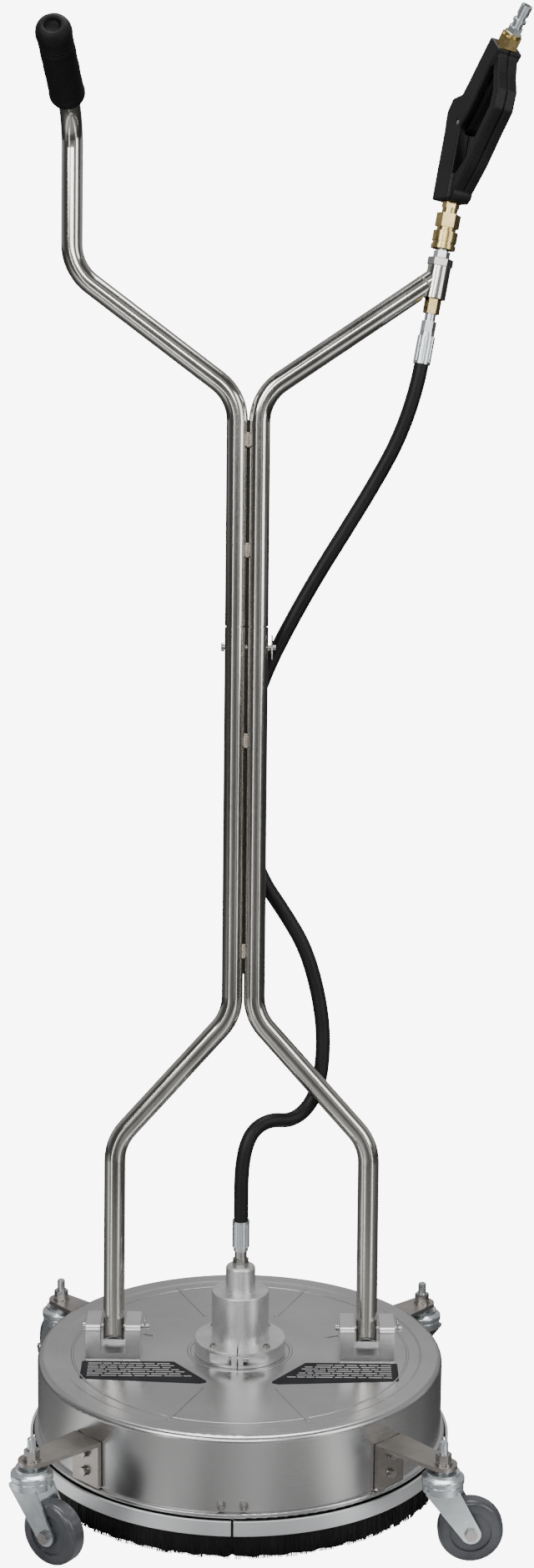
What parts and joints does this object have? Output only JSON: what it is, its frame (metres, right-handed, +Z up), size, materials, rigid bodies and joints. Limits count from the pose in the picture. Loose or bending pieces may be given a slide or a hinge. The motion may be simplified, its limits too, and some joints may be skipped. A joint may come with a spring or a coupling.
{
  "type": "surface cleaner",
  "caption": "Rotary surface cleaner: round steel deck with brush skirt on swivel casters, tall folding twin-tube handle, trigger gun, quick coupling and hose to the hub.",
  "frame": {"origin": "on the floor under the rotor axis, at the centre of the round deck", "axes": "+Z up, +Y towards the rear edge that the handle leans over, -Y towards the operator, +X to the operator's right"},
  "size_m": [0.589, 0.5814, 1.7388],
  "materials": {
    "deck_steel": "brushed stainless sheet",
    "bracket_steel": "brushed stainless plate",
    "tube_steel": "polished stainless tube",
    "aluminium": "machined aluminium",
    "zinc": "bright zinc plated steel",
    "steel": "turned steel",
    "brass": "machined brass",
    "black_plastic": "moulded glass-filled nylon, fine texture",
    "black_rubber": "black rubber",
    "hose_rubber": "black hose cover",
    "bristle": "black nylon bristle",
    "wheel_rubber": "dark grey caster wheel, semi-gloss",
    "label_film": "printed film, no wording"
  },
  "bodies": {
    "deck": {"deck_shell": "deck_steel", "brush_band": "aluminium", "brush_skirt": "bristle", "band_screws": "steel", "deck_labels": "label_film", "clamp_collar": "aluminium", "collar_screws": "steel", "union_body": "aluminium", "union_bearings": "steel", "union_seal": "black_rubber", "union_fitting": "steel", "hub_ferrule": "zinc", "clevis_left": "aluminium", "clevis_right": "aluminium", "clevis_screws": "steel", "pivot_pins": "steel", "caster_brackets": "bracket_steel", "bracket_fasteners": "steel", "caster_stems": "zinc", "hose": "hose_rubber"},
    "rotor": {"rotor_shaft": "steel", "rotor_hub": "steel", "spray_arms": "tube_steel", "spray_nozzles": "steel"},
    "handle": {"lower_tube_left": "tube_steel", "lower_tube_right": "tube_steel", "upper_tube_left": "tube_steel", "upper_tube_right": "tube_steel", "weld_spacers": "steel", "hose_sleeve": "steel", "joint_pin": "steel", "joint_clip": "steel", "handle_grip": "black_rubber", "hose_adapter": "brass", "hose_stem": "zinc", "upper_ferrule": "zinc", "jam_nut": "steel", "coupler_plug": "zinc"},
    "gun": {"coupler_body": "brass", "gun_shell_left": "black_plastic", "gun_shell_right": "black_plastic", "gun_fasteners": "steel", "gun_valve": "brass", "gun_inlet": "brass", "inlet_plug": "zinc"},
    "coupler_ring": {"coupler_sleeve": "brass"},
    "trigger": {"trigger": "black_plastic"},
    "latch": {"trigger_latch": "black_plastic"},
    "caster_front_right": {"caster_fork_front_right": "zinc", "caster_axle_front_right": "steel"},
    "wheel_front_right": {"caster_wheel_front_right": "wheel_rubber"},
    "caster_front_left": {"caster_fork_front_left": "zinc", "caster_axle_front_left": "steel"},
    "wheel_front_left": {"caster_wheel_front_left": "wheel_rubber"},
    "caster_rear_right": {"caster_fork_rear_right": "zinc", "caster_axle_rear_right": "steel"},
    "wheel_rear_right": {"caster_wheel_rear_right": "wheel_rubber"},
    "caster_rear_left": {"caster_fork_rear_left": "zinc", "caster_axle_rear_left": "steel"},
    "wheel_rear_left": {"caster_wheel_rear_left": "wheel_rubber"}
  },
  "joints": [
    {"name": "rotor_spin", "type": "hinge", "parent": "deck", "child": "rotor", "pos_m": [0, 0, 0.097], "axis": [0, 0, 1], "continuous": true},
    {"name": "handle_tilt", "type": "hinge", "parent": "deck", "child": "handle", "pos_m": [0, -0.004, 0.181], "axis": [1, 0, 0], "range_deg": [0, 75], "deforming": ["hose"]},
    {"name": "gun_turn", "type": "hinge", "parent": "handle", "child": "gun", "pos_m": [0.22, 0.18121, 1.42024], "axis": [0.1702, 0.1457, 0.9746], "continuous": true},
    {"name": "coupler_ring_slide", "type": "slide", "parent": "gun", "child": "coupler_ring", "axis": [0.1702, 0.1457, 0.9746], "range_m": [0, 0.004], "stiffness_N_per_m": 1500, "springref_m": -0.003},
    {"name": "trigger_squeeze", "type": "hinge", "parent": "gun", "child": "trigger", "pos_m": [0.25524, 0.20116, 1.60195], "axis": [-0.878, -0.4266, 0.2171], "range_deg": [0, 13], "stiffness_Nm_per_rad": 1.5, "springref_deg": -8.59},
    {"name": "latch_turn", "type": "hinge", "parent": "trigger", "child": "latch", "pos_m": [0.28128, 0.1686, 1.64331], "axis": [-0.878, -0.4266, 0.2171], "range_deg": [-60, 0]},
    {"name": "swivel_front_right", "type": "hinge", "parent": "deck", "child": "caster_front_right", "pos_m": [0.23334, -0.23334, 0.09], "axis": [0, 0, 1], "continuous": true},
    {"name": "roll_front_right", "type": "hinge", "parent": "caster_front_right", "child": "wheel_front_right", "pos_m": [0.26534, -0.23334, 0.0375], "axis": [0, 1, 0], "continuous": true},
    {"name": "swivel_front_left", "type": "hinge", "parent": "deck", "child": "caster_front_left", "pos_m": [-0.23334, -0.23334, 0.09], "axis": [0, 0, 1], "continuous": true},
    {"name": "roll_front_left", "type": "hinge", "parent": "caster_front_left", "child": "wheel_front_left", "pos_m": [-0.20713, -0.2517, 0.0375], "axis": [0.5736, 0.8192, 0], "continuous": true},
    {"name": "swivel_rear_right", "type": "hinge", "parent": "deck", "child": "caster_rear_right", "pos_m": [0.23334, 0.23334, 0.09], "axis": [0, 0, 1], "continuous": true},
    {"name": "roll_rear_right", "type": "hinge", "parent": "caster_rear_right", "child": "wheel_rear_right", "pos_m": [0.21072, 0.25597, 0.0375], "axis": [-0.7071, -0.7071, 0], "continuous": true},
    {"name": "swivel_rear_left", "type": "hinge", "parent": "deck", "child": "caster_rear_left", "pos_m": [-0.23334, 0.23334, 0.09], "axis": [0, 0, 1], "continuous": true},
    {"name": "roll_rear_left", "type": "hinge", "parent": "caster_rear_left", "child": "wheel_rear_left", "pos_m": [-0.24429, 0.26342, 0.0375], "axis": [-0.9397, -0.342, 0], "continuous": true}
  ]
}
